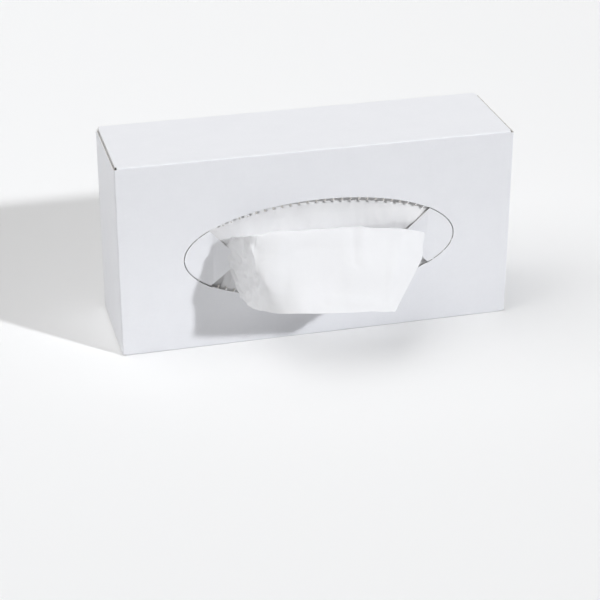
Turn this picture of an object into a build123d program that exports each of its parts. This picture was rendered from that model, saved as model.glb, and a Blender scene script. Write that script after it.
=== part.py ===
"""Carton of facial tissues, standing on its long narrow side with one sheet pulled out.

The carton is one blank of thin board: an opening panel, two long narrow sides and a back
panel folded round into a sleeve and glued, with a dust flap, a back flap and a full outer
flap glued at each end. An oval in the opening panel is torn open between two end caps.

Frame: +X along the carton, +Y from the opening panel to the back panel, +Z up. The origin
is the centre of the narrow side that the carton stands on. All sizes are in millimetres.
"""
import os

from build123d import *

# Carton
length = 230.0
depth = 66.0
height = 115.0
board = 0.45
fold_radius = 0.9

# Closure of the ends and of the sleeve
flap_inset = 0.8
flap_corner = 2.5
outer_flap_short = 1.2
dust_flap = 34.0
dust_flap_inset = 1.5
back_flap = 30.0
glue_flap = 14.0

# Torn oval: cut line, end caps with their pointed tabs, and what is left of the perforation
oval_length = 158.5
oval_height = 59.0
oval_shift = 1.5
oval_drop = 2.0
cap_chord = 64.5
tab_reach = 17.5
cut_width = 0.5
bridge_width = 0.9
cap_bridges = (0.18, 0.5, 0.82)
nib_pitch = 5.0
nib_width = 1.0
nib_height = 0.8

# Folded sheets in the carton
stack_length = 210.0
stack_height = 105.0
stack_thickness = 52.0
stack_fold_radius = 3.0
seat = 0.3

# Next sheet, swollen towards the oval
next_length = 176.0
next_height = 84.0
next_gap = 4.0
next_round = 4.5

# Sheet pulled out through the oval. A pull line runs from where the sheet leaves the slot to
# its free edge: (slot x, edge x, distance of the edge out of the panel, edge height, crest
# height), counted from the middle of the oval.
sheet = 0.8
sheet_gap = 0.5
tail_length = 36.0
crest_bend = 3.0
pull_shares = (0.0, 0.15, 0.30, 0.38, 0.44, 0.50, 0.70, 0.86, 1.0)
pull_lines = (
    (-54.0, -53.5, 9.0, -18.0, 12.5),
    (-42.0, -42.0, 30.0, -20.0, 11.5),
    (-24.0, -23.0, 44.0, -23.0, 11.0),
    (2.0, 6.0, 48.0, -22.5, 9.0),
    (18.0, 28.0, 50.0, -21.0, 7.0),
    (34.0, 47.0, 27.0, -11.0, 5.0),
    (45.0, 61.0, 6.0, -2.0, 3.5),
)

front = -depth / 2
back = depth / 2
middle = height / 2
oval_level = middle - oval_drop


def rounded(wide, high, radius, corners):
    """Rectangle about the origin with the named corners rounded, as (x sign, y sign) pairs."""
    outline = Rectangle(wide, high)
    chosen = [v for v in outline.vertices() if (v.X > 0, v.Y > 0) in corners]
    return fillet(chosen, radius) if chosen else outline


def tray(run, flap):
    """Section of a board folded up at both ends of its run, lying on the X axis."""
    folds = ((False, False), (True, False))
    outer = rounded(run, flap, fold_radius, folds)
    inner = rounded(run - 2 * board, flap, fold_radius - board, folds)
    return Pos(0, flap / 2) * (outer - Pos(0, board) * inner)


def frame_section(deep, high):
    """Section of the closed sleeve, in the plane across the carton."""
    corners = tuple((a, b) for a in (True, False) for b in (True, False))
    outer = rounded(deep, high, fold_radius, corners)
    return outer - rounded(deep - 2 * board, high - 2 * board, fold_radius - board, corners)


def sleeve():
    """Four panels, with the glue flap of the resting side inside the back panel."""
    whole = Pos(0, middle) * frame_section(depth, height)
    open_corner = Pos(back, 0) * Rectangle(2 * (board + fold_radius), 2 * fold_radius)
    tucked = Pos(-board / 2, middle) * frame_section(depth - board, height)
    flap_area = Pos(back - fold_radius, glue_flap / 2) * Rectangle(4 * fold_radius, glue_flap)
    section = (whole - open_corner) + (tucked & flap_area)
    run = length - 4 * board - 2 * fold_radius
    across = Plane(origin=(-run / 2, 0, 0), x_dir=(0, 1, 0), z_dir=(1, 0, 0))
    return extrude(across * section, run)


def opening_panel_strip():
    """Opening panel with the outer flap that covers the whole of each end."""
    upright = Plane(origin=(0, front, flap_inset))
    folded = extrude(upright * tray(length, depth - outer_flap_short), height - 2 * flap_inset)
    free_corners = folded.edges().filter_by(Axis.X).group_by(Axis.Y)[-1]
    return fillet(free_corners, flap_corner)


def back_panel_strip():
    """Back panel with the flap that the outer flap is glued to."""
    turned = Plane(origin=(0, back, glue_flap / 4), x_dir=(-1, 0, 0), z_dir=(0, 0, 1))
    return extrude(turned * tray(length - 2 * board, back_flap), height - glue_flap / 2)


def narrow_side_strip(level, upwards):
    """Long narrow side with its two dust flaps, which lie under the other flaps."""
    wide = depth - 2 * (fold_radius + dust_flap_inset)
    x_dir = (1, 0, 0) if upwards else (-1, 0, 0)
    across = Plane(origin=(0, wide / 2, level), x_dir=x_dir, z_dir=(0, -1, 0))
    return extrude(across * tray(length - 4 * board, dust_flap), wide)


def cap_with_tab(side):
    """End cap that stays in the oval, with the pointed tab on its straight edge."""
    oval = Ellipse(oval_length / 2, oval_height / 2)
    rim = oval_height / 2 * (1 - (cap_chord / (oval_length / 2)) ** 2) ** 0.5
    beyond = Pos(side * (cap_chord + oval_length / 2), 0) * Rectangle(oval_length, oval_height)
    tab = make_face(Polyline(
        (side * cap_chord, rim),
        (side * (cap_chord - tab_reach), 0),
        (side * cap_chord, -rim),
        close=True,
    ))
    return (oval & beyond) + tab


def cap_cut(side):
    """Cut line round an end cap, with the bridges that hold the cap in the panel."""
    outer = Ellipse((oval_length + cut_width) / 2, (oval_height + cut_width) / 2)
    inner = Ellipse((oval_length - cut_width) / 2, (oval_height - cut_width) / 2)
    start = cap_chord - 2 * cut_width
    beyond = Pos(side * (start + oval_length / 2), 0) * Rectangle(oval_length, length)
    cut = (outer - inner) & beyond
    cap = Ellipse(oval_length / 2, oval_height / 2) & beyond
    rim = max(cap.edges(), key=lambda edge: abs(edge.center().X))
    for share in cap_bridges:
        spot = rim.position_at(share)
        turn = rim.tangent_angle_at(share)
        cut -= Pos(spot.X, spot.Y) * Rot(0, 0, turn) * Rectangle(bridge_width, 4 * cut_width)
    return cut


def perforation_nibs():
    """Short nibs of board left along the torn top and bottom of the oval."""
    edge = Ellipse(oval_length / 2, oval_height / 2).edge()
    count = int(edge.length / nib_pitch)
    nibs = []
    for index in range(count):
        share = (index + 0.5) / count
        spot = edge.position_at(share)
        if abs(spot.X) < cap_chord - 3 * nib_width:
            turn = edge.tangent_angle_at(share)
            nib = Rectangle(nib_width, 2 * nib_height)
            nibs.append(Pos(spot.X, spot.Y) * Rot(0, 0, turn) * nib)
    return nibs


def oval_cut():
    """Everything cut out of the opening panel, as a solid through its board."""
    hole = Ellipse(oval_length / 2, oval_height / 2)
    for side in (-1, 1):
        hole -= cap_with_tab(side)
    hole -= perforation_nibs()
    for side in (-1, 1):
        hole += cap_cut(side)
    from_inside = Plane(
        origin=(oval_shift, front + 2 * board, oval_level),
        x_dir=(1, 0, 0),
        z_dir=(0, -1, 0),
    )
    return extrude(from_inside * hole, 3 * board)


def make_carton():
    body = sleeve() + opening_panel_strip() + back_panel_strip()
    body += narrow_side_strip(0, True)
    body += narrow_side_strip(height, False)
    return body - oval_cut()


def make_tissue_stack():
    """Folded sheets as one block, standing on the lower narrow side against the back."""
    far_face = back - 2 * board - seat
    block = Box(stack_length, stack_thickness, stack_height)
    block = fillet(block.edges().filter_by(Axis.X), stack_fold_radius)
    return Pos(0, far_face - stack_thickness / 2, board + seat + stack_height / 2) * block


def make_next_tissue():
    """Next sheet, swollen out of the stack towards the oval."""
    rear = back - 2 * board - 2 * seat - stack_thickness
    face = front + board + next_gap
    block = Box(next_length, rear - face, next_height)
    swollen = [e for e in block.faces().sort_by(Axis.Y)[0].edges()]
    block = fillet(swollen, min(next_round, 0.9 * (rear - face)))
    return Pos(oval_shift, (rear + face) / 2, oval_level) * block


def pull_section(slot_x, edge_x, out, edge_height, crest):
    """Section of the pulled sheet along one pull line, from its tail to its free edge."""
    tail_y = front + board + sheet_gap + sheet / 2
    along = Vector(edge_x - slot_x, front - out - tail_y)
    reach = along.length
    drop = crest - edge_height
    line = [
        Vector(0, -tail_length),
        Vector(0, -0.6 * tail_length),
        Vector(0, crest - 4 * crest_bend),
        Vector(0, crest - 2 * crest_bend),
        Vector(0.3 * crest_bend, crest - 0.6 * crest_bend),
        Vector(crest_bend, crest),
        Vector(max(0.45 * reach, 2 * crest_bend), crest - 0.2 * drop),
        Vector(max(0.80 * reach, 2.5 * crest_bend), crest - 0.6 * drop),
        Vector(max(reach, 3 * crest_bend), edge_height),
    ]
    upper, under = [], []
    for index, point in enumerate(line):
        run = line[min(index + 1, len(line) - 1)] - line[max(index - 1, 0)]
        normal = Vector(-run.Y, run.X).normalized() * (sheet / 2)
        upper.append(point + normal)
        under.append(point - normal)
    outline = [
        Edge.make_spline(upper, parameters=pull_shares),
        Line(upper[-1], under[-1]),
        Edge.make_spline(under[::-1], parameters=[1 - share for share in pull_shares[::-1]]),
        Line(under[0], upper[0]),
    ]
    upright = Plane(
        origin=(oval_shift + slot_x, tail_y, oval_level),
        x_dir=(along.X, along.Y, 0),
        z_dir=(along.Y, -along.X, 0),
    )
    return upright * make_face(outline)


def make_popped_tissue():
    """Sheet that hangs out of the oval, over its lower lip, with its tail inside the panel."""
    return loft([pull_section(*pull_line) for pull_line in pull_lines])


def main():
    nodes = {
        "carton": make_carton(),
        "tissue_stack": make_tissue_stack(),
        "next_tissue": make_next_tissue(),
        "popped_tissue": make_popped_tissue(),
    }
    os.makedirs("parts", exist_ok=True)
    for name, shape in nodes.items():
        shape.label = name
        export_step(shape, f"parts/{name}.step")
        print(name, len(shape.solids()), "solid,", round(shape.volume), "mm3", shape.is_valid)


main()
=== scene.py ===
"""Looks of a carton of facial tissues: thin coated board, the folded sheets inside it, the next
sheet behind the torn oval and the sheet that hangs out over its lower lip.

Frame: +X along the carton, +Y from the opening panel to the back panel, +Z up, in metres.
Places on the opening panel are counted from the middle of its oval, in millimetres: x along
the panel, out of the panel, and height.
"""
import math

import bmesh
import bpy
import numpy as np
from bpy.props import FloatProperty, FloatVectorProperty, IntProperty, PointerProperty
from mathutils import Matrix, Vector, noise


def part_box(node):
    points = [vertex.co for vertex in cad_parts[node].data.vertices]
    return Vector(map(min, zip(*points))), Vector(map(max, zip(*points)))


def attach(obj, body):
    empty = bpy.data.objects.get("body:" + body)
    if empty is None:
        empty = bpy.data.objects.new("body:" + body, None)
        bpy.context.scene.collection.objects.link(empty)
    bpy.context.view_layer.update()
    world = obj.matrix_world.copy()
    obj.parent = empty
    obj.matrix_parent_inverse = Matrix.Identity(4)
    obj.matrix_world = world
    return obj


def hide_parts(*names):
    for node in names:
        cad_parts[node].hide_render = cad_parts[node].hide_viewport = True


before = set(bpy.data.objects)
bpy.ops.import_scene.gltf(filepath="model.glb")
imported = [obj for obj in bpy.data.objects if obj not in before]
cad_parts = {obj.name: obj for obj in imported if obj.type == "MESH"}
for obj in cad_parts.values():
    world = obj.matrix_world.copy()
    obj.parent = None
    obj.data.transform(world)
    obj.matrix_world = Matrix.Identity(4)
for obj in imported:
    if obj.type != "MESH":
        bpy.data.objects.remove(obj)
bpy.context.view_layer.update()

bl_info = {
    "name": "Tissue carton",
    "version": (1, 0, 0),
    "blender": (4, 5, 0),
    "location": "View3D > Sidebar > Tissue carton",
    "description": "Builds the board, the folded sheets and the stage of a carton of tissues",
    "category": "Add Mesh",
}

MM = 0.001
BODY = "root"
CARTON_LOW, CARTON_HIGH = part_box("carton")
STACK_LOW, STACK_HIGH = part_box("tissue_stack")
NEXT_LOW, NEXT_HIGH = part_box("next_tissue")
OVAL_MIDDLE = Vector((
    (NEXT_LOW.x + NEXT_HIGH.x) / 2,
    CARTON_LOW.y,
    (NEXT_LOW.z + NEXT_HIGH.z) / 2,
))

# Board and the torn oval, as they are in the carton
BOARD = 0.45 * MM
OVAL_HALF_LENGTH = 79.25 * MM
OVAL_HALF_HEIGHT = 29.5 * MM
CAP_CHORD = 64.5 * MM
NIB_STRETCH = 1.0 * MM
NIB_PUSH = 0.55 * MM
CUT_GAPE = 0.4 * MM
TAB_REACH = 17.5 * MM
PASSED_LIGHT = (0.93, 0.93, 0.94)

# Tab: how far a point may lie outside it and still bend, and the length over which it bends
TAB_MARGIN = 0.3 * MM
TAB_END_MARGIN = 0.1 * MM
TAB_BEND = 3 * MM

# Cuts that let the board bend: beside the folds, and across each tab
FOLD_CUT = 2.7 * BOARD
TAB_CUT = 1.2 * MM
TAB_CUTS = 13
SHARP_EDGE = math.radians(38)

# Places in the oval are counted from its middle, with 1 on its edge: where the nibs' points
# lie, how far up or down they are at least and how far from the end caps, and the outer side
# of the cut line
NIB_BAND = (0.93, 0.985)
NIB_LEAST_UP = 0.5
NIB_FROM_CAP = 2.4 * MM
CUT_BAND = (1.005, 1.0175)

# Sprung part of the cut below the left end cap: from, to, as shares of the half length
GAPE_FROM = -0.95
GAPE_TO = -0.62

# Stack: places along it at which a packet is drawn, and steps round each rounded edge
STACK_STATIONS = 15
TURN_STEPS = 6

# Points across and along each sheet, and the span over which the crinkles follow its lines
NEXT_GRID = (190, 230)
PULLED_GRID = (230, 330)
CRINKLE_SPAN = (115 * MM, 30 * MM)

# Stage: size and glow of the floor, the lamps, and the camera
FLOOR_HALF = 8.0
FLOOR_GLOW = 0.115
KEY_DIRECTION = (-1.03, 1.0, -0.68)
KEY_PLACE = (1.0, -1.0, 0.7)
KEY_SPREAD = math.radians(3)
KEY_COLOUR = (0.96, 0.975, 1.0)
OVERHEAD_DIRECTION = (0.5, -0.05, -0.87)
OVERHEAD_PLACE = (-1.0, 0.0, 1.0)
OVERHEAD_SPREAD = math.radians(70)
LOW_DIRECTION = (0.0, 0.35, 1.0)
LOW_PLACE = (0.0, -0.085, 0.002)
LOW_SIZE = (0.26, 0.08)
CAMERA_PLACE = (-0.2412, -0.9370, 0.4920)
CAMERA_TURN = (math.pi / 2 - 0.4659, 0.0, -0.2495)

# Pulled sheet: one row for each pull line, left to right: its crest, where it bends, and where
# it reaches the free edge.
PULL_LINES = (
    ((-58.0, 1.2, 11.5), (-55.0, 5.0, -3.0), (-50.0, 8.0, -23.0)),
    ((-53.0, 7.0, 15.0), (-50.5, 8.5, -1.5), (-48.5, 11.0, -23.0)),
    ((-48.5, 14.0, 18.0), (-47.5, 15.0, 3.0), (-46.5, 17.5, -23.0)),
    ((-43.5, 19.5, 21.0), (-46.0, 21.0, 12.0), (-44.0, 25.0, -22.5)),
    ((-39.5, 19.0, 20.5), (-44.5, 28.0, 4.0), (-41.0, 32.0, -20.5)),
    ((-34.0, 18.0, 20.0), (-40.3, 33.6, -0.8), (-37.0, 36.8, -19.6)),
    ((-27.5, 17.0, 19.0), (-31.3, 34.0, -3.8), (-30.9, 43.0, -17.8)),
    ((-21.0, 16.0, 18.5), (-24.4, 31.5, -0.2), (-23.0, 47.8, -16.3)),
    ((-13.0, 14.5, 18.0), (-15.5, 30.0, 0.0), (-16.5, 48.5, -16.8)),
    ((-4.0, 13.0, 17.0), (-6.6, 30.2, -1.2), (-7.5, 48.8, -17.6)),
    ((5.5, 12.0, 16.0), (2.2, 30.4, -1.6), (1.0, 48.5, -18.5)),
    ((15.0, 10.5, 15.0), (10.6, 31.4, -1.3), (9.5, 48.0, -19.5)),
    ((25.5, 9.5, 13.0), (20.0, 31.0, -2.5), (17.5, 47.0, -20.5)),
    ((36.5, 8.0, 11.0), (28.5, 30.0, -3.5), (24.5, 46.5, -22.0)),
    ((47.0, 6.5, 8.5), (37.5, 28.0, -4.5), (28.5, 46.0, -22.5)),
    ((60.5, 3.5, 4.0), (57.0, 11.0, -9.0), (30.5, 46.0, -23.0)),
)

# Hidden part of every pull line, from its end in the carton up to the slot:
# (spread of x, out of the panel, height)
TAIL_STATIONS = (
    (1.70, -3.3, -54.0),
    (1.66, -3.3, -30.0),
    (1.62, -3.2, -12.0),
    (1.56, -3.1, -4.0),
    (1.50, -2.7, -2.5),
    (1.46, -2.3, -5.0),
    (1.42, -2.2, -24.0),
    (1.36, -2.1, -48.0),
    (1.32, -1.8, -53.5),
    (1.28, -1.5, -48.0),
    (1.10, -1.4, -30.0),
    (0.98, -1.4, -14.0),
)

# Shares of the way from the slot to the crest: (along x and out, up)
RISE_STATIONS = ((0.04, 0.30), (0.50, 0.76))
SLOT_RIGHT = 46.0

# Next sheet from its upper edge: (out of the panel, height)
NEXT_PROFILE = (
    (-5.4, 41.0), (-4.0, 32.0), (-2.9, 25.0), (-1.8, 18.0), (-1.2, 10.0), (-3.4, 2.0),
    (-4.9, -20.0), (-5.6, -34.0), (-7.2, -40.5), (-9.6, -41.3), (-10.9, -38.0),
    (-11.1, -20.0), (-11.1, 0.0), (-11.1, 20.0), (-11.2, 37.0), (-11.7, 40.5),
    (-12.1, 37.0), (-12.2, 20.0), (-12.2, 2.0),
)
# Lines up the next sheet: (share of its half length, extra depth at the top, at the middle)
NEXT_LINES = (
    (-1.0, 3.0, 3.0), (-0.82, 0.8, 0.8), (-0.6, 0.2, 0.2), (-0.35, 0.6, 0.1),
    (-0.1, 1.2, 0.4), (0.15, 1.7, 0.8), (0.4, 1.5, 0.6), (0.62, 0.8, 0.0),
    (0.83, 0.8, 0.2), (1.0, 3.0, 3.0),
)

# Folds pressed into the pulled sheet: (from, to, half width, depth), depth towards its inside
CREASES = (
    ((-54.5, 5.5, -2.0), (-50.5, 8.5, -14.0), 1.2, -1.1),
    ((-50.5, 8.5, -14.0), (-47.0, 17.0, -22.0), 1.2, 1.0),
    ((-52.0, 7.0, 8.0), (-49.0, 12.0, -6.0), 1.4, 1.0),
    ((-49.0, 12.0, -6.0), (-46.5, 17.0, -17.0), 1.3, -1.1),
    ((-48.0, 14.5, 14.0), (-46.5, 20.0, -4.0), 1.8, 0.8),
    ((-28.5, 19.0, 16.0), (-34.0, 31.0, 4.0), 6.5, 2.0),
    ((15.5, 11.0, 14.5), (12.0, 28.0, 2.5), 3.0, -0.8),
    ((21.0, 11.0, 13.5), (17.0, 28.0, 1.5), 3.4, 0.8),
    ((-6.0, 44.0, -11.0), (20.0, 44.0, -17.0), 3.0, 0.4),
    ((44.0, 10.0, 7.0), (34.0, 33.0, -7.0), 3.0, 0.4),
)


def at_oval(x, out, height):
    """Point of the row frame for a place on the opening panel, given in millimetres."""
    return (OVAL_MIDDLE.x + x * MM, OVAL_MIDDLE.y - out * MM, OVAL_MIDDLE.z + height * MM)


# ---------------------------------------------------------------- settings

class CartonSettings(bpy.types.PropertyGroup):
    """Sizes and colours of the folded board."""

    panel_bow: FloatProperty(
        name="Panel bow",
        description="How far the middle of the large panels stands out",
        default=0.35 * MM,
        unit="LENGTH",
    )
    left_tab_lift: FloatProperty(
        name="Left tab lift",
        description="Angle by which the pointed tab at the left is bent out",
        default=math.radians(18),
        subtype="ANGLE",
    )
    right_tab_lift: FloatProperty(
        name="Right tab lift",
        description="Angle by which the pointed tab at the right is bent out",
        default=math.radians(-6),
        subtype="ANGLE",
    )
    cut_pitch: FloatProperty(
        name="Mesh pitch",
        description="Distance between the cuts that let the board bend",
        default=5 * MM,
        unit="LENGTH",
    )
    coat_light: FloatVectorProperty(
        name="Coated board",
        description="Colour of the coated outside",
        default=(0.900, 0.905, 0.930),
        subtype="COLOR",
        size=3,
    )
    coat_dark: FloatVectorProperty(
        name="Coated board, thin places",
        description="Colour where the fibres show through the coat",
        default=(0.815, 0.820, 0.850),
        subtype="COLOR",
        size=3,
    )
    inside: FloatVectorProperty(
        name="Inside of the board",
        description="Colour of the uncoated back of the board",
        default=(0.70, 0.675, 0.64),
        subtype="COLOR",
        size=3,
    )


class SheetSettings(bpy.types.PropertyGroup):
    """Sizes and colours of the sheets."""

    crinkle: FloatProperty(
        name="Crinkle",
        description="Height of the fine crinkles in the pulled sheet",
        default=0.32 * MM,
        unit="LENGTH",
    )
    swell: FloatProperty(
        name="Swell",
        description="How unevenly the next sheet swells towards the oval",
        default=0.9 * MM,
        unit="LENGTH",
    )
    packets: IntProperty(
        name="Packets",
        description="Number of folded packets that the stack is drawn with",
        default=26,
        min=4,
        max=60,
    )
    colour: FloatVectorProperty(
        name="Tissue",
        description="Colour of the tissue",
        default=(0.915, 0.915, 0.925),
        subtype="COLOR",
        size=3,
    )
    # Lighter copy of the tissue colour for the next sheet: painted light that brightens it where it
    # lies in shade behind the oval
    colour_next_painted_light: FloatVectorProperty(
        name="Next sheet",
        description="Colour of the next sheet where several layers lie together",
        default=(0.985, 0.980, 0.985),
        subtype="COLOR",
        size=3,
    )
    colour_thin: FloatVectorProperty(
        name="Tissue, thin places",
        description="Colour where the tissue is thinner",
        default=(0.860, 0.860, 0.870),
        subtype="COLOR",
        size=3,
    )


class StageSettings(bpy.types.PropertyGroup):
    """Camera, lamps and floor."""

    lens: FloatProperty(
        name="Lens",
        description="Focal length of the camera, in millimetres",
        default=108.65,
    )
    key: FloatProperty(
        name="Key light",
        description="Strength of the light from the front, the right and above",
        default=2.05,
    )
    top: FloatProperty(
        name="Overhead light",
        description="Strength of the broad light from above and the left",
        default=2.10,
    )
    low: FloatProperty(
        name="Low light",
        description="Power of the soft light that the foreground throws back",
        default=0.02,
    )
    fill: FloatProperty(
        name="Soft light",
        description="Strength of the even light from all round",
        default=0.10,
    )
    floor: FloatVectorProperty(
        name="Floor",
        description="Colour of the floor",
        default=(0.78, 0.78, 0.78),
        subtype="COLOR",
        size=3,
    )
    background: FloatVectorProperty(
        name="Background",
        description="Colour behind the floor",
        default=(0.888, 0.888, 0.888),
        subtype="COLOR",
        size=3,
    )


# ---------------------------------------------------------------- materials

class Reading:
    """One output of a shader node. Arithmetic on it adds Math nodes."""

    def __init__(self, finish, socket):
        self.finish = finish
        self.socket = socket

    def calculate(self, operation, first, second):
        values = {0: first, 1: second}
        return self.finish.node("ShaderNodeMath", {"operation": operation}, values)["Value"]

    def __add__(self, other):
        return self.calculate("ADD", self, other)

    def __radd__(self, other):
        return self.calculate("ADD", other, self)

    def __mul__(self, other):
        return self.calculate("MULTIPLY", self, other)

    def __rmul__(self, other):
        return self.calculate("MULTIPLY", other, self)

    def __pow__(self, other):
        return self.calculate("POWER", self, other)


class Finish:
    """The node tree of one material, or of the world."""

    def __init__(self, owner, tree):
        self.owner = owner
        self.tree = tree
        self.tree.nodes.clear()

    def node(self, kind, settings=None, values=None):
        """Adds a node, sets it, fills its sockets and gives its outputs by name."""
        made = self.tree.nodes.new(kind)
        for key, value in (settings or {}).items():
            setattr(made, key, value)
        for key, value in (values or {}).items():
            if isinstance(value, Reading):
                self.tree.links.new(value.socket, made.inputs[key])
            else:
                made.inputs[key].default_value = value
        return {output.name: Reading(self, output) for output in made.outputs if output.enabled}

    def place(self, stretch):
        """Place on the object in metres, stretched along its axes."""
        here = self.node("ShaderNodeTexCoord")["Object"]
        if stretch == (1, 1, 1):
            return here
        return self.node("ShaderNodeMapping", {}, {"Vector": here, "Scale": stretch})["Vector"]

    def grain(self, size, detail, stretch=(1, 1, 1)):
        """Noise from 0 to 1 with features of the given size in metres."""
        values = {"Vector": self.place(stretch), "Scale": 1 / size, "Detail": detail}
        made = self.node("ShaderNodeTexNoise", {}, values)
        return made.get("Fac") or made["Factor"]

    def blend(self, share, first, second):
        """Colour between two colours."""
        values = {"Factor": share, 6: (*first, 1), 7: (*second, 1)}
        made = self.node("ShaderNodeMix", {"data_type": "RGBA"}, values)
        return made["Result"]

    def relief(self, height, depth, strength):
        """Normal of a surface raised by height times depth, in metres."""
        values = {"Height": height, "Distance": depth, "Strength": strength}
        return self.node("ShaderNodeBump", {}, values)["Normal"]

    def show(self, surface):
        self.node("ShaderNodeOutputMaterial", {}, {"Surface": surface})
        return self.owner


def new_finish(name):
    material = bpy.data.materials.new(name)
    material.use_nodes = True
    return Finish(material, material.node_tree)


def opaque(finish, colour, roughness, normal, specular):
    values = {
        "Base Color": colour,
        "Roughness": roughness,
        "Normal": normal,
        "Specular IOR Level": specular,
    }
    return finish.show(finish.node("ShaderNodeBsdfPrincipled", {}, values)["BSDF"])


def coated_board(settings):
    """Smooth white coat over the fibres of the board."""
    finish = new_finish("coated_board")
    fibres = finish.grain(0.9 * MM, 3.0)
    clouds = finish.grain(14 * MM, 2.0)
    lengthways = finish.grain(1.4 * MM, 1.0, (0.25, 1, 1))
    upwards = finish.grain(1.4 * MM, 1.0, (1, 1, 0.25))
    weave = lengthways * 0.5 + upwards * 0.5
    shade = fibres * 0.35 + clouds * 0.35 + weave * 0.3
    colour = finish.blend(shade, settings.coat_dark, settings.coat_light)
    roughness = 0.52 + 0.12 * fibres
    normal = finish.relief(weave * 0.6 + fibres * 0.4, 0.05 * MM, 0.5)
    return opaque(finish, colour, roughness, normal, 0.4)


def bare_board(settings):
    """Uncoated grey back of the board, its cut edges and the fronts of the torn nibs; on the nibs it
    is partly torn fibre and partly painted shade.
    """
    finish = new_finish("bare_board")
    fibres = finish.grain(0.6 * MM, 4.0, (0.4, 1, 1))
    flecks = finish.grain(2.5 * MM, 1.0) ** 3
    tone = settings.inside
    darker = tuple(0.72 * part for part in tone)
    lighter = tuple(min(1, 1.18 * part) for part in tone)
    colour = finish.blend(fibres * 0.7 + flecks * 0.6, darker, lighter)
    normal = finish.relief(fibres, 0.08 * MM, 0.6)
    return opaque(finish, colour, 0.85 + 0.1 * fibres, normal, 0.2)


def crepe(name, colours, across, passing):
    """Soft tissue: fine crepe lines across the pull, fibres, and light passing through."""
    finish = new_finish(name)
    lines = finish.grain(0.55 * MM, 2.0, across)
    fibres = finish.grain(1.3 * MM, 3.0)
    clouds = finish.grain(9 * MM, 2.0)
    colour = finish.blend(fibres * 0.4 + clouds * 0.6, *colours)
    normal = finish.relief(lines * 0.6 + fibres * 0.4, 0.10 * MM, 0.55)
    values = {
        "Base Color": colour,
        "Roughness": 0.86 + 0.1 * fibres,
        "Normal": normal,
        "Specular IOR Level": 0.15,
    }
    front = finish.node("ShaderNodeBsdfPrincipled", {}, values)["BSDF"]
    values = {"Color": (*PASSED_LIGHT, 1), "Normal": normal}
    through = finish.node("ShaderNodeBsdfTranslucent", {}, values)["BSDF"]
    mixed = finish.node("ShaderNodeMixShader", {}, {0: passing, 1: front, 2: through})
    return finish.show(mixed["Shader"])


def seen_directly(finish):
    """1 where the camera sees a surface directly, in a reflection or through glass."""
    rays = finish.node("ShaderNodeLightPath")
    direct = rays["Is Camera Ray"]
    for kind in ("Is Glossy Ray", "Is Transmission Ray"):
        direct = direct.calculate("MAXIMUM", direct, rays[kind])
    return direct


def packed_edges(settings):
    """Stack of folded tissue, with its layers as fine dark lines."""
    finish = new_finish("packed_tissue")
    layers = finish.grain(0.35 * MM, 1.0, (0.02, 1, 0.02))
    fibres = finish.grain(1.3 * MM, 3.0)
    shade = layers * 0.7 + fibres * 0.3
    colour = finish.blend(shade, settings.colour_thin, settings.colour)
    normal = finish.relief(layers * 0.8 + fibres * 0.2, 0.12 * MM, 0.7)
    return opaque(finish, colour, 0.9 + 0.05 * fibres, normal, 0.15)


# ---------------------------------------------------------------- meshes

def new_piece(name, mesh, slot, *nodes):
    """Object for a finished mesh, riding on the carton in place of its CAD nodes."""
    piece = bpy.data.objects.new(name, mesh)
    bpy.context.scene.collection.objects.link(piece)
    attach(piece, BODY)
    if nodes:
        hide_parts(*nodes)
    return piece


def smooth_share(share):
    return share * share * (3 - 2 * share)


def curve_weights(count, samples):
    """Weights that carry samples along a smooth curve through count points."""
    weights = np.zeros((samples, count))
    for row, where in enumerate(np.linspace(0, count - 1, samples)):
        start = min(int(where), count - 2)
        t = where - start
        parts = (
            (-0.5 * t ** 3 + t ** 2 - 0.5 * t),
            (1.5 * t ** 3 - 2.5 * t ** 2 + 1),
            (-1.5 * t ** 3 + 2 * t ** 2 + 0.5 * t),
            (0.5 * t ** 3 - 0.5 * t ** 2),
        )
        for offset, part in zip((-1, 0, 1, 2), parts):
            weights[row, min(max(start + offset, 0), count - 1)] += part
    return weights


def smooth_surface(net, rows, columns):
    """Grid of points on the smooth surface through a net of control points."""
    net = np.array(net, float)
    along_rows = curve_weights(net.shape[0], rows)
    along_columns = curve_weights(net.shape[1], columns)
    return np.einsum("ri,ijk,cj->rck", along_rows, net, along_columns)


def grid_normals(points):
    across = np.gradient(points, axis=0)
    along = np.gradient(points, axis=1)
    normals = np.cross(across, along)
    lengths = np.linalg.norm(normals, axis=2, keepdims=True)
    return normals / np.maximum(lengths, 1e-12)


def grid_mesh(name, points):
    """Open mesh over a grid of points in metres."""
    rows, columns = points.shape[:2]
    faces = []
    for row in range(rows - 1):
        for column in range(columns - 1):
            corner = row * columns + column
            faces.append((corner, corner + 1, corner + columns + 1, corner + columns))
    mesh = bpy.data.meshes.new(name)
    mesh.from_pydata(points.reshape(-1, 3).tolist(), [], faces)
    mesh.shade_smooth()
    return mesh


def folds(place, size):
    """Sharp valleys between soft hills, from 0 to about 1."""
    return abs(noise.noise(Vector(place) / size))


def bend_tab(point, side, lift):
    """Bends the pointed tab at one side of the oval about its straight edge."""
    x = side * (point.x - OVAL_MIDDLE.x)
    height = point.z - OVAL_MIDDLE.z
    reach = CAP_CHORD - x
    rim = OVAL_HALF_HEIGHT * math.sqrt(1 - (CAP_CHORD / OVAL_HALF_LENGTH) ** 2)
    half_width = rim * (1 - reach / TAB_REACH)
    if 0 < reach < TAB_REACH + TAB_END_MARGIN and abs(height) <= half_width + TAB_MARGIN:
        turned = lift * min(1, reach / TAB_BEND)
        point.y -= reach * math.sin(turned)
        point.x += side * reach * (1 - math.cos(turned))


def oval_place(point):
    """Place of a point in the oval, from -1 to 1 along it and up it."""
    along = (point.x - OVAL_MIDDLE.x) / OVAL_HALF_LENGTH
    up = (point.z - OVAL_MIDDLE.z) / OVAL_HALF_HEIGHT
    return along, up


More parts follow.
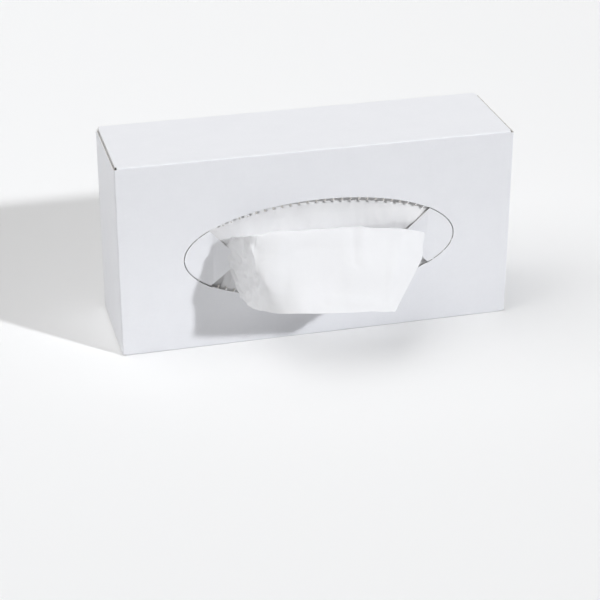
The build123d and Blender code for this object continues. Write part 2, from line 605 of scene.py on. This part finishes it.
def out_of_oval(along, up):
    """Direction straight out through the rim of the oval."""
    return Vector((along / OVAL_HALF_LENGTH, 0.0, up / OVAL_HALF_HEIGHT)).normalized()


def on_nib(point):
    """True for a place on a nib, inside the oval's edge and between the end caps."""
    along, up = oval_place(point)
    between = abs(point.x - OVAL_MIDDLE.x) < CAP_CHORD - NIB_FROM_CAP
    in_band = NIB_BAND[0] < along * along + up * up < NIB_BAND[1]
    return between and in_band and abs(up) > NIB_LEAST_UP


def stretch_nib(point):
    """Draws the torn nibs of the perforation out and pushes them in, as tearing leaves them."""
    if on_nib(point):
        point -= NIB_STRETCH * out_of_oval(*oval_place(point))
        point.y += NIB_PUSH


def gape_cut(point):
    """Opens the cut below the left end cap, where the cap has sprung a little."""
    along, up = oval_place(point)
    in_band = CUT_BAND[0] < along * along + up * up < CUT_BAND[1]
    if in_band and GAPE_FROM < along < GAPE_TO and up < 0:
        share = math.sin(math.pi * (along - GAPE_FROM) / (GAPE_TO - GAPE_FROM))
        point += CUT_GAPE * share * out_of_oval(along, up)


def bow_panel(point, settings):
    """Lets the two large panels stand out a little between their folds."""
    across = (point.x - CARTON_LOW.x) / (CARTON_HIGH.x - CARTON_LOW.x)
    up = (point.z - CARTON_LOW.z) / (CARTON_HIGH.z - CARTON_LOW.z)
    rise = math.sin(math.pi * min(max(across, 0), 1)) * math.sin(math.pi * min(max(up, 0), 1))
    uneven = noise.noise(Vector((point.x, point.y * 0.3, point.z)) / (38 * MM))
    near = 4 * BOARD
    if point.y < CARTON_LOW.y + near:
        point.y -= settings.panel_bow * rise * (0.75 + 0.9 * uneven)
    elif point.y > CARTON_HIGH.y - near:
        point.y += settings.panel_bow * rise * (0.75 + 0.9 * uneven)


def is_outside(centre, normal):
    """True for a face of the coated outside of the board, before it is bent."""
    for axis in range(3):
        for low, sign in ((CARTON_LOW[axis], -1), (CARTON_HIGH[axis], 1)):
            if sign * (low - centre[axis]) < 0.62 * BOARD and sign * normal[axis] > 0.3:
                return True
    return False


def under_flap(centre, normal):
    """True for the coated faces between the flaps of the two ends."""
    far = max(CARTON_LOW.x - centre.x, centre.x - CARTON_HIGH.x)
    return far > -3.6 * BOARD and abs(normal.x) > 0.9 and normal.x * centre.x > 0


def carton_mesh(settings):
    """Copy of the folded board, cut finely enough to bend, with its bowed panels and tabs."""
    shell = bmesh.new()
    shell.from_mesh(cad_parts["carton"].data)
    bmesh.ops.remove_doubles(shell, verts=shell.verts, dist=0.5e-6)
    cuts = []
    for axis in range(3):
        low, high = CARTON_LOW[axis], CARTON_HIGH[axis]
        count = round((high - low) / settings.cut_pitch)
        places = [low + (high - low) * step / count for step in range(1, count)]
        places += [low + FOLD_CUT, high - FOLD_CUT]
        cuts += [(axis, place) for place in places]
    for side in (-1, 1):
        chord = OVAL_MIDDLE.x + side * CAP_CHORD
        cuts += [(0, chord - side * step * TAB_CUT) for step in range(1, TAB_CUTS + 1)]
    for axis, place in cuts:
        direction = Vector((axis == 0, axis == 1, axis == 2))
        geometry = shell.verts[:] + shell.edges[:] + shell.faces[:]
        bmesh.ops.bisect_plane(
            shell, geom=geometry, dist=1e-7, plane_co=direction * place, plane_no=direction,
        )
    shell.normal_update()
    for face in shell.faces:
        centre = face.calc_center_median()
        coated = is_outside(centre, face.normal) or under_flap(centre, face.normal)
        # Nib faces on the front take the bare board colour: partly the torn fibre of the nibs,
        # partly painted shade that darkens them into dark teeth
        coated = coated and not (centre.y < CARTON_LOW.y + BOARD and on_nib(centre))
        face.material_index = 0 if coated else 1
        face.smooth = True
    for edge in shell.edges:
        edge.smooth = not (edge.is_manifold and edge.calc_face_angle() > SHARP_EDGE)
    for vert in shell.verts:
        near_front = vert.co.y < CARTON_LOW.y + 1.5 * BOARD
        if near_front:
            stretch_nib(vert.co)
            gape_cut(vert.co)
        bow_panel(vert.co, settings)
        if near_front:
            bend_tab(vert.co, -1, settings.left_tab_lift)
            bend_tab(vert.co, 1, settings.right_tab_lift)
    mesh = bpy.data.meshes.new("folded_board")
    shell.to_mesh(mesh)
    shell.free()
    return mesh


def stack_mesh(settings):
    """Block of interfolded sheets: thin packets, each with two rounded long edges."""
    wide = STACK_HIGH.x - STACK_LOW.x
    high = STACK_HIGH.z - STACK_LOW.z
    middle = (STACK_LOW.z + STACK_HIGH.z) / 2
    thick = (STACK_HIGH.y - STACK_LOW.y) / settings.packets
    outline = []
    for end in (1, -1):
        for step in range(TURN_STEPS + 1):
            angle = math.pi * step / TURN_STEPS
            outline.append((math.cos(angle) * end, end * math.sin(angle)))
    loop = len(outline)
    verts, faces = [], []
    for packet in range(settings.packets):
        y = STACK_LOW.y + thick * (packet + 0.5)
        first = len(verts)
        for station in range(STACK_STATIONS):
            share = station / (STACK_STATIONS - 1)
            x = STACK_LOW.x + wide * share
            at_end = station in (0, STACK_STATIONS - 1)
            for side, top in outline:
                loose = noise.noise(Vector((share * 2.3, packet * 0.71, top)))
                half = high / 2 - thick / 2 - (0.9 + 0.9 * loose) * MM
                short = max(0, 0.8 * MM * noise.noise(Vector((packet * 1.3, side, 5.0))))
                x_here = x - math.copysign(short, share - 0.5) * at_end
                reach = 0 if abs(top) < 1e-9 else top
                # A top of 0 counts as upper, so the lower turn starts on the upper turn's last point
                z = middle + math.copysign(half, top or 1) + reach * thick / 2
                verts.append((x_here, y + 0.49 * side * thick, z))
        for station in range(STACK_STATIONS - 1):
            for step in range(loop):
                following = (step + 1) % loop
                a = first + station * loop
                b = a + loop
                faces.append((a + step, a + following, b + following, b + step))
        faces.append(tuple(first + step for step in range(loop))[::-1])
        last = first + (STACK_STATIONS - 1) * loop
        faces.append(tuple(last + step for step in range(loop)))
    mesh = bpy.data.meshes.new("interfolded_stack")
    mesh.from_pydata(verts, [], faces)
    mesh.shade_smooth()
    mesh.set_sharp_from_angle(angle=math.radians(50))
    return mesh


def next_sheet_points(settings):
    """Next sheet: its swollen front layer, then two more layers folded behind it."""
    half = (NEXT_HIGH.x - NEXT_LOW.x) / 2 / MM - 1
    net = []
    for share, top_depth, middle_depth in NEXT_LINES:
        line = []
        for out, height in NEXT_PROFILE:
            if height > 20 and out > -8:
                out -= top_depth
            elif height > 0 and out > -8:
                out -= middle_depth
            line.append(at_oval(share * half, out, height))
        net.append(line)
    points = smooth_surface(net, *NEXT_GRID)
    front = smooth_share(np.clip((0.55 - np.linspace(0, 1, points.shape[1])) / 0.15, 0, 1))
    for row in range(points.shape[0]):
        for column in range(points.shape[1]):
            if front[column] > 0:
                x, _, z = points[row, column]
                slant = (x + 0.25 * z, 0.0, 0.35 * z)
                swell = noise.noise(Vector(slant) / (17 * MM))
                fine = folds((x, 2.0, 0.5 * z), 7 * MM)
                rise = settings.swell * (0.6 * swell - 0.5 * fine)
                points[row, column, 1] -= front[column] * rise
    return points


def halfway(first, second):
    return tuple(a + (b - a) / 2 for a, b in zip(first, second))


def pulled_sheet_net():
    """Control points of the pulled sheet, from its tail in the carton to its free edge."""
    net = []
    for crest, bend, edge in PULL_LINES:
        slot_x = min(crest[0], SLOT_RIGHT + 0.12 * (crest[0] - SLOT_RIGHT))
        line = [(slot_x * spread, out, height) for spread, out, height in TAIL_STATIONS]
        slot = line[-1]
        for out_share, up_share in RISE_STATIONS:
            line.append((
                slot[0] + out_share * (crest[0] - slot[0]),
                slot[1] + out_share * (crest[1] - slot[1]),
                slot[2] + up_share * (crest[2] - slot[2]),
            ))
        line += [crest, halfway(crest, bend), bend, halfway(bend, edge), edge]
        net.append([at_oval(*place) for place in line])
    return net


def pulled_sheet_points(settings):
    """Pulled sheet with its pressed folds and fine crinkles."""
    net = pulled_sheet_net()
    last_hidden = len(TAIL_STATIONS) + len(RISE_STATIONS) - 1
    shown_from = last_hidden / (len(net[0]) - 1)
    points = smooth_surface(net, *PULLED_GRID)
    normals = grid_normals(points)
    rows, columns = points.shape[:2]
    creases = [
        (Vector(at_oval(*start)), Vector(at_oval(*end)), half * MM, depth * MM)
        for start, end, half, depth in CREASES
    ]
    moved = points.copy()
    for row in range(rows):
        u = row / (rows - 1)
        left = smooth_share(min(max((0.42 - u) / 0.25, 0), 1))
        for column in range(columns):
            v = column / (columns - 1)
            shown = smooth_share(min(max((v - shown_from) / 0.08, 0), 1))
            place = Vector(points[row, column])
            along = (u * CRINKLE_SPAN[0], v * CRINKLE_SPAN[1], 1.0 * MM)
            crinkle = (
                (0.5 - folds(along, 5.5 * MM)) * (0.1 + 0.9 * left)
                + (0.5 - folds(place, 6.0 * MM)) * 3.2 * left
                + noise.noise(place / (18 * MM)) * 2.4
            )
            height = settings.crinkle * crinkle * (0.4 + 0.6 * shown + 1.2 * left * shown)
            for start, end, half, depth in creases:
                run = end - start
                share = min(max((place - start).dot(run) / run.length_squared, 0), 1)
                distance = (place - (start + run * share)).length
                if distance < 4 * half:
                    height -= shown * depth * math.exp(-((distance / half) ** 2))
            moved[row, column] += normals[row, column] * height
    return moved


# ---------------------------------------------------------------- operators

class BuildCarton(bpy.types.Operator):
    """Folded board of the carton, with its bowed panels and bent tabs"""

    bl_idname = "tissue_carton.board"
    bl_label = "Carton"

    def execute(self, context):
        settings = context.scene.tissue_carton_board
        mesh = carton_mesh(settings)
        mesh.materials.append(coated_board(settings))
        mesh.materials.append(bare_board(settings))
        new_piece("folded_board", mesh, "board", "carton")
        return {"FINISHED"}


class BuildStack(bpy.types.Operator):
    """Stack of interfolded sheets"""

    bl_idname = "tissue_carton.stack"
    bl_label = "Stack"

    def execute(self, context):
        settings = context.scene.tissue_carton_sheets
        mesh = stack_mesh(settings)
        mesh.materials.append(packed_edges(settings))
        new_piece("interfolded_stack", mesh, "tissue", "tissue_stack")
        return {"FINISHED"}


class BuildNextSheet(bpy.types.Operator):
    """Next sheet, swollen behind the oval"""

    bl_idname = "tissue_carton.next_sheet"
    bl_label = "Next sheet"

    def execute(self, context):
        settings = context.scene.tissue_carton_sheets
        mesh = grid_mesh("next_sheet", next_sheet_points(settings))
        # The second colour of the next sheet is painted light, a lighter copy of the tissue colour
        colours = (settings.colour, settings.colour_next_painted_light)
        mesh.materials.append(crepe("next_sheet_crepe_painted_light", colours, (1, 1, 0.35), 0.02))
        piece = new_piece("next_sheet", mesh, "tissue", "next_tissue")
        return {"FINISHED"}


class BuildPulledSheet(bpy.types.Operator):
    """Sheet that hangs out of the oval"""

    bl_idname = "tissue_carton.pulled_sheet"
    bl_label = "Pulled sheet"

    def execute(self, context):
        settings = context.scene.tissue_carton_sheets
        mesh = grid_mesh("pulled_sheet", pulled_sheet_points(settings))
        colours = (settings.colour_thin, settings.colour)
        mesh.materials.append(crepe("pulled_sheet_crepe", colours, (0.35, 1, 1), 0.14))
        piece = new_piece("pulled_sheet", mesh, "tissue", "popped_tissue")
        return {"FINISHED"}


class BuildStage(bpy.types.Operator):
    """Floor, soft light and camera"""

    bl_idname = "tissue_carton.stage"
    bl_label = "Stage"

    def execute(self, context):
        settings = context.scene.tissue_carton_stage
        self.add_floor(settings)
        self.add_light(context, settings)
        self.add_camera(context, settings)
        context.scene.view_settings.view_transform = "Standard"
        return {"FINISHED"}

    def add_floor(self, settings):
        half = FLOOR_HALF
        level = CARTON_LOW.z
        turns = ((-half, -half), (half, -half), (half, half), (-half, half))
        corners = [(x, y, level) for x, y in turns]
        mesh = bpy.data.meshes.new("floor")
        mesh.from_pydata(corners, [], [(0, 1, 2, 3)])
        finish = new_finish("pale_floor")
        values = {"Color": (*settings.floor, 1), "Roughness": 0.6}
        diffuse = finish.node("ShaderNodeBsdfDiffuse", {}, values)["BSDF"]
        values = {"Color": (1, 1, 1, 1), "Strength": seen_directly(finish) * FLOOR_GLOW}
        glow = finish.node("ShaderNodeEmission", {}, values)["Emission"]
        both = finish.node("ShaderNodeAddShader", {}, {0: diffuse, 1: glow})["Shader"]
        mesh.materials.append(finish.show(both))
        floor = bpy.data.objects.new("floor", mesh)
        bpy.context.scene.collection.objects.link(floor)

    def add_lamp(self, context, name, kind, direction, place):
        data = bpy.data.lights.new(name, kind)
        lamp = bpy.data.objects.new(name, data)
        lamp.rotation_mode = "QUATERNION"
        lamp.rotation_quaternion = Vector(direction).to_track_quat("-Z", "Y")
        lamp.location = place
        lamp.visible_camera = False
        context.scene.collection.objects.link(lamp)
        return data

    def add_light(self, context, settings):
        key = self.add_lamp(context, "key", "SUN", KEY_DIRECTION, KEY_PLACE)
        key.energy = settings.key
        key.angle = KEY_SPREAD
        key.color = KEY_COLOUR
        overhead = self.add_lamp(context, "overhead", "SUN", OVERHEAD_DIRECTION, OVERHEAD_PLACE)
        overhead.energy = settings.top
        overhead.angle = OVERHEAD_SPREAD
        low = self.add_lamp(context, "low", "AREA", LOW_DIRECTION, LOW_PLACE)
        low.energy = settings.low
        low.shape = "RECTANGLE"
        low.size, low.size_y = LOW_SIZE
        world = bpy.data.worlds.new("soft_light")
        world.use_nodes = True
        context.scene.world = world
        sky = Finish(world, world.node_tree)
        seen = seen_directly(sky)
        fill = (settings.fill,) * 3
        colour = sky.blend(seen, fill, tuple(settings.background))
        shine = sky.node("ShaderNodeBackground", {}, {"Color": colour, "Strength": 1.0})
        sky.node("ShaderNodeOutputWorld", {}, {"Surface": shine["Background"]})

    def add_camera(self, context, settings):
        lens = bpy.data.cameras.new("camera")
        lens.lens = settings.lens
        lens.sensor_width = 36.0
        lens.clip_end = 50.0
        camera = bpy.data.objects.new("camera", lens)
        camera.location = CAMERA_PLACE
        camera.rotation_euler = CAMERA_TURN
        context.scene.collection.objects.link(camera)
        context.scene.camera = camera


class CartonPanel(bpy.types.Panel):
    """Buttons and settings of the tissue carton"""

    bl_idname = "VIEW3D_PT_tissue_carton"
    bl_label = "Tissue carton"
    bl_space_type = "VIEW_3D"
    bl_region_type = "UI"
    bl_category = "Tissue carton"

    def draw(self, context):
        layout = self.layout
        for group, operators in PANEL_ROWS:
            box = layout.box()
            settings = getattr(context.scene, group)
            for name in settings.__annotations__:
                box.prop(settings, name)
            for operator in operators:
                box.operator(operator.bl_idname)


PANEL_ROWS = (
    ("tissue_carton_board", (BuildCarton,)),
    ("tissue_carton_sheets", (BuildStack, BuildNextSheet, BuildPulledSheet)),
    ("tissue_carton_stage", (BuildStage,)),
)
SETTINGS = {
    "tissue_carton_board": CartonSettings,
    "tissue_carton_sheets": SheetSettings,
    "tissue_carton_stage": StageSettings,
}
OPERATORS = (BuildCarton, BuildStack, BuildNextSheet, BuildPulledSheet, BuildStage)


def register():
    for owner in (*SETTINGS.values(), *OPERATORS, CartonPanel):
        bpy.utils.register_class(owner)
    for name, group in SETTINGS.items():
        setattr(bpy.types.Scene, name, PointerProperty(type=group))


def unregister():
    for name in SETTINGS:
        delattr(bpy.types.Scene, name)
    for owner in (CartonPanel, *reversed(OPERATORS), *SETTINGS.values()):
        bpy.utils.unregister_class(owner)


def main():
    register()
    bpy.ops.tissue_carton.board()
    bpy.ops.tissue_carton.stack()
    bpy.ops.tissue_carton.next_sheet()
    bpy.ops.tissue_carton.pulled_sheet()
    bpy.ops.tissue_carton.stage()


if __name__ == "__main__":
    main()
